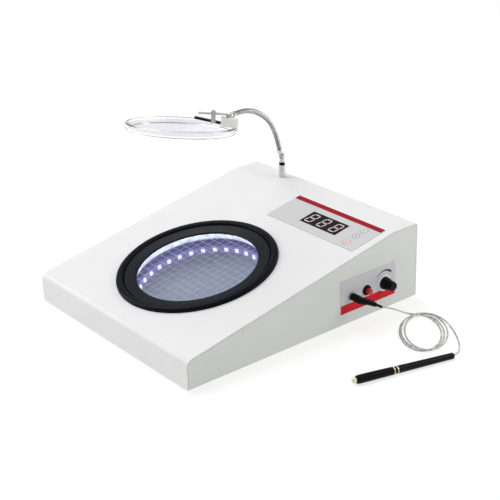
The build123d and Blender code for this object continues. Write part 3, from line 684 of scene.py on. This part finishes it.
# ------------------------------------------------------------------ the touch pen's lead
CORD_RADIUS = 1.0
LEAD_ROUTE = [
    (194.0, 248.0, 36.3),
    (198.5, 252.0, 35.8),
    (199.0, 262.0, 31.0),
    (194.5, 275.5, 22.5),
    (188.5, 290.0, 13.0),
    (184.5, 303.5, 5.0),
    (186.0, 313.0, 2.0),
]
TAIL_ROUTE = [
    (214.7, 326.4, 3.1),
    (225.8, 324.2, 2.4),
    (237.0, 319.2, 1.6),
    (249.5, 312.2, 1.1),
    (261.0, 304.1, 1.1),
    (271.5, 295.1, 1.4),
    (280.2, 285.4, 2.3),
    (285.4, 278.0, 3.1),
    (287.2, 272.3, 3.6),
    (287.2, 267.5, 3.7),
]
COIL_CENTRE = (223.0, 286.0)
COIL_TURN = math.radians(-43.5)
COIL_HALF_LENGTH = 46.0
COIL_HALF_WIDTH = 26.0
COIL_SIZES = (0.6, -1.2, 1.0, -0.8, 0.4)
COIL_DRIFT = (-5.5, -1.0, 1.5, 5.0, 5.5)
COIL_SWEEP = 1125.0
COIL_LOWEST = 1.05
COIL_RISE = 0.85
POINTS_PER_TURN = 16


def coil_points():
    """The loose turns, clockwise from above, each a little off the last in size and place."""
    points = []
    step = 360.0 / POINTS_PER_TURN
    for index in range(1, int(COIL_SWEEP / step)):
        swept = index * step
        turn = swept / 360.0
        whole = int(turn)
        share = turn - whole
        size = between(COIL_SIZES[whole], COIL_SIZES[whole + 1], share)
        drift = between(COIL_DRIFT[whole], COIL_DRIFT[whole + 1], share)
        angle = math.radians(180.0 - swept)
        u = (COIL_HALF_LENGTH + size) * math.cos(angle)
        v = (COIL_HALF_WIDTH + size) * math.sin(angle) + drift
        x = COIL_CENTRE[0] + u * math.cos(COIL_TURN) - v * math.sin(COIL_TURN)
        y = COIL_CENTRE[1] + u * math.sin(COIL_TURN) + v * math.cos(COIL_TURN)
        points.append((x, y, COIL_LOWEST + COIL_RISE * turn))
    return points


def add_cord(materials):
    """One lead from the boot through the loose turns to the pen."""
    points = LEAD_ROUTE + coil_points() + TAIL_ROUTE
    data = bpy.data.curves.new("touch_pen_lead", "CURVE")
    data.dimensions = "3D"
    data.bevel_depth = CORD_RADIUS * MM
    data.bevel_resolution = 4
    data.resolution_u = 6
    data.use_fill_caps = True
    spline = data.splines.new("NURBS")
    spline.points.add(len(points) - 1)
    for place, point in zip(points, spline.points):
        point.co = (*case_point(*place), 1.0)
    spline.order_u = 3
    spline.use_endpoint_u = True
    data.materials.append(materials["lead"])
    lead = bpy.data.objects.new("touch_pen_lead", data)
    SCENE.collection.objects.link(lead)
    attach(lead, "probe")
    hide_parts("cord_lead", "cord_coil", "cord_tail")


# ------------------------------------------------------------------ studio
FLOOR_HALF = 6.0
# Each lamp's name, place, target, size, power in watts and colour.
LIGHTS = [
    ("key_light", (-1.1, -0.1, 2.4), (0, 0, 0), (1.8, 1.8), 39.0, (1.0, 0.97, 1.02)),
    ("back_light", (0.7, 1.9, 1.7), (0, 0, 0.1), (2.0, 1.0), 8.0, (1.0, 0.98, 1.02)),
    ("front_light", (-1.45, -1.1, 1.0), (0, 0, 0.03), (1.2, 0.9), 12.0, (1.0, 0.98, 1.0)),
    ("right_light", (0.62, 0.5, 0.5), (0, 0.1, 0.08), (0.4, 0.4), 2.0, (1.0, 1.0, 0.98)),
]


def add_light(name, place, target, size, power, colour):
    """A rectangular lamp at a place, turned to a target."""
    data = bpy.data.lights.new(name, "AREA")
    data.shape = "RECTANGLE"
    data.size, data.size_y = size
    data.energy = power
    data.color = colour
    light = bpy.data.objects.new(name, data)
    light.location = place
    light.rotation_mode = "QUATERNION"
    light.rotation_quaternion = (Vector(target) - Vector(place)).to_track_quat("-Z", "Y")
    SCENE.collection.objects.link(light)


def add_studio(materials):
    """The white table, the sky and four lamps."""
    mesh = bpy.data.meshes.new("studio_floor")
    corners = [(FLOOR_HALF * x, FLOOR_HALF * y, 0) for x, y in ((-1, -1), (1, -1), (1, 1), (-1, 1))]
    mesh.from_pydata(corners, [], [(0, 1, 2, 3)])
    mesh.materials.append(materials["floor"])
    floor = bpy.data.objects.new("studio_floor", mesh)
    SCENE.collection.objects.link(floor)

    world = bpy.data.worlds.new("studio")
    world.use_nodes = True
    sky = world.node_tree.nodes["Background"]
    sky.inputs["Color"].default_value = (0.985, 1.0, 0.955, 1.0)
    sky.inputs["Strength"].default_value = 0.45
    SCENE.world = world
    for lamp in LIGHTS:
        add_light(*lamp)
    SCENE.view_settings.view_transform = "Standard"


# ------------------------------------------------------------------ the whole scene
add_camera()
looks = add_materials()
add_cord(looks)
paint_nodes(looks)
paint_details(looks)
add_grid(looks)
add_digits(looks)
add_key_marks(looks)
add_overlay_stripe(looks)
add_label_prints(looks)
add_studio(looks)
